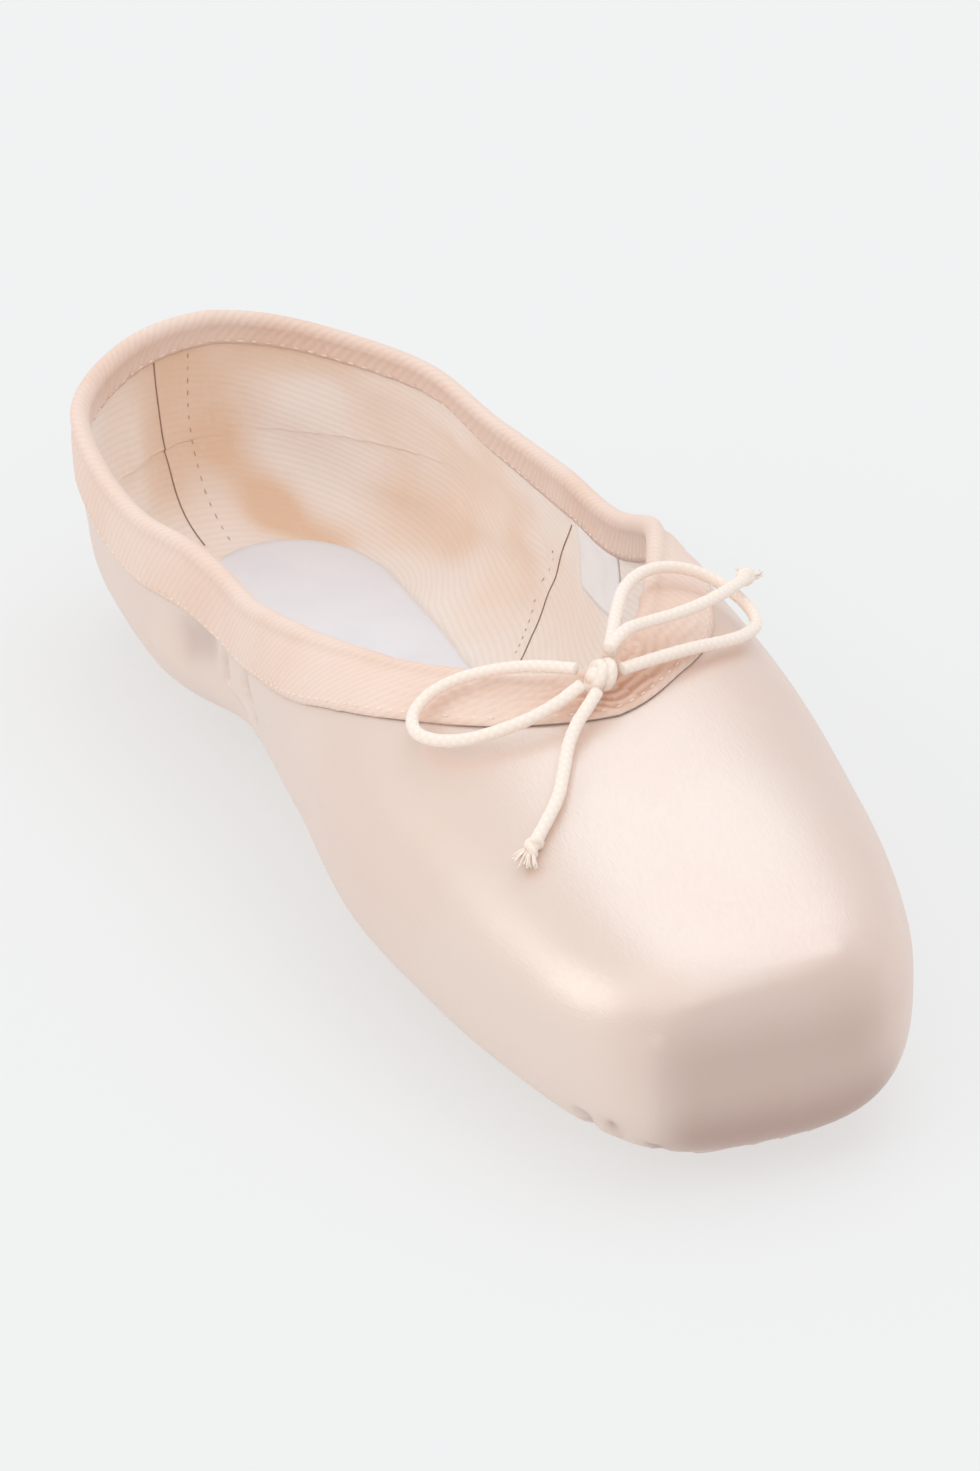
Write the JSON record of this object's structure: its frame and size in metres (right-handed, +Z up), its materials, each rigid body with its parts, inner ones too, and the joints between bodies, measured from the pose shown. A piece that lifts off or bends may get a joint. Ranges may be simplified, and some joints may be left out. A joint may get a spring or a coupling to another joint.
{
  "type": "pointe shoe",
  "caption": "Soft satin pointe shoe with a stiff flat-ended toe box, a small leather sole, an insole, a bound collar and a drawstring tied in a bow at the throat.",
  "frame": {"origin": "middle of the shoe's footprint on the floor, with the shoe standing on its sole", "axes": "+Z up, toe towards -Y, heel towards +Y, the side nearer the camera towards -X"},
  "size_m": [0.0822, 0.24, 0.0627],
  "materials": {
    "satin": "pale pink satin with a soft sheen over cotton canvas",
    "twill": "matte peach cotton twill tape",
    "leather": "matte natural split leather",
    "sock": "matte white smooth sock liner",
    "cord": "matte cream woven cotton cord"
  },
  "bodies": {
    "root": {"upper": "satin", "collar_binding": "twill", "outsole": "leather", "insole": "sock", "bow_knot": "cord", "bow_loop_near": "cord", "bow_loop_far": "cord", "bow_end_near": "cord", "bow_end_far": "cord"}
  },
  "joints": []
}
